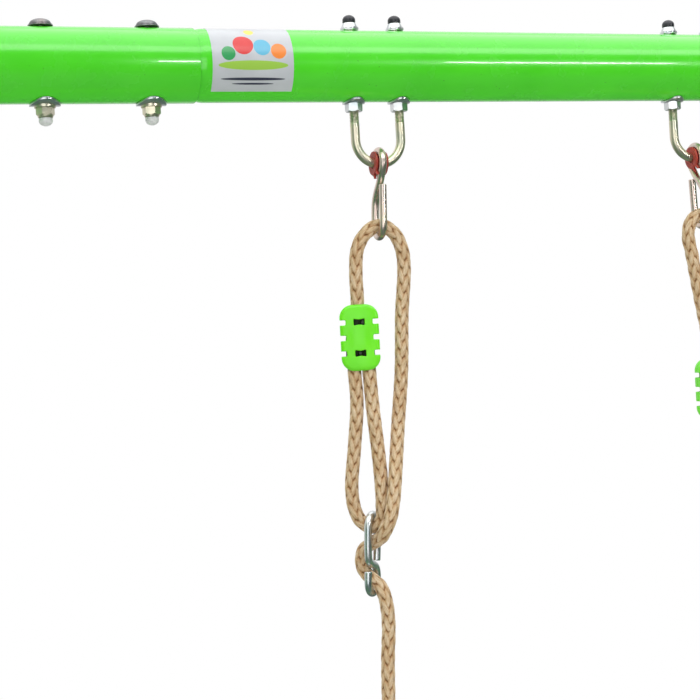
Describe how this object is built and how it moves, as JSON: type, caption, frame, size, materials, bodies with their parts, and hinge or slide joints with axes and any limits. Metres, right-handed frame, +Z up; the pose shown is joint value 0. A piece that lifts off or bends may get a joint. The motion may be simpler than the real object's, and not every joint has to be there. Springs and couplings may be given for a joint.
{
  "type": "swing frame",
  "caption": "Free-standing tubular play frame: round top beam on A-shaped ends, carrying a rope swing on U-bolt hangers with adjustable rope loops.",
  "frame": {"origin": "on the ground, under the middle of the beam", "axes": "+X along the beam, +Y to the rear, +Z up"},
  "size_m": [1.55, 1.3316, 1.8436],
  "materials": {
    "frame_coat": "gloss powder coat",
    "zinc": "bright zinc",
    "yellow_zinc": "yellow passivated zinc",
    "pink_zinc": "polished zinc, warm tint",
    "black_plastic": "satin",
    "white_plastic": "translucent satin",
    "red_plastic": "satin",
    "green_plastic": "semi-gloss",
    "rope": "braided",
    "foot_rubber": "matte"
  },
  "bodies": {
    "frame": {"beam": "frame_coat", "left_head": "frame_coat", "left_front_leg": "frame_coat", "left_front_foot": "foot_rubber", "left_front_leg_bolt": "zinc", "left_front_brace_bolt": "zinc", "left_rear_leg": "frame_coat", "left_rear_foot": "foot_rubber", "left_rear_leg_bolt": "zinc", "left_rear_brace_bolt": "zinc", "left_brace": "frame_coat", "left_inner_joint_bolt": "zinc", "left_inner_joint_nut": "yellow_zinc", "left_inner_joint_cap": "white_plastic", "left_inner_top_nut": "zinc", "left_inner_top_cap": "black_plastic", "left_inner_lower_nut": "zinc", "left_outer_joint_bolt": "zinc", "left_outer_joint_nut": "yellow_zinc", "left_outer_joint_cap": "white_plastic", "left_outer_top_nut": "zinc", "left_outer_top_cap": "black_plastic", "left_outer_lower_nut": "zinc", "left_u_bolt": "yellow_zinc", "right_head": "frame_coat", "right_front_leg": "frame_coat", "right_front_foot": "foot_rubber", "right_front_leg_bolt": "zinc", "right_front_brace_bolt": "zinc", "right_rear_leg": "frame_coat", "right_rear_foot": "foot_rubber", "right_rear_leg_bolt": "zinc", "right_rear_brace_bolt": "zinc", "right_brace": "frame_coat", "right_inner_joint_bolt": "zinc", "right_inner_joint_nut": "yellow_zinc", "right_inner_joint_cap": "white_plastic", "right_inner_top_nut": "zinc", "right_inner_top_cap": "black_plastic", "right_inner_lower_nut": "zinc", "right_outer_joint_bolt": "zinc", "right_outer_joint_nut": "yellow_zinc", "right_outer_joint_cap": "white_plastic", "right_outer_top_nut": "zinc", "right_outer_top_cap": "black_plastic", "right_outer_lower_nut": "zinc", "right_u_bolt": "yellow_zinc"},
    "swing": {"left_bushing": "red_plastic", "left_hook": "pink_zinc", "left_adjuster": "zinc", "left_rope": "rope", "left_clamp_front": "green_plastic", "left_clamp_back": "green_plastic", "right_bushing": "red_plastic", "right_hook": "pink_zinc", "right_adjuster": "zinc", "right_rope": "rope", "right_clamp_front": "green_plastic", "right_clamp_back": "green_plastic", "seat": "green_plastic"}
  },
  "joints": [
    {"name": "swing_pivot", "type": "hinge", "parent": "frame", "child": "swing", "pos_m": [0, 0, 1.717], "axis": [1, 0, 0], "range_deg": [-50, 50]}
  ]
}
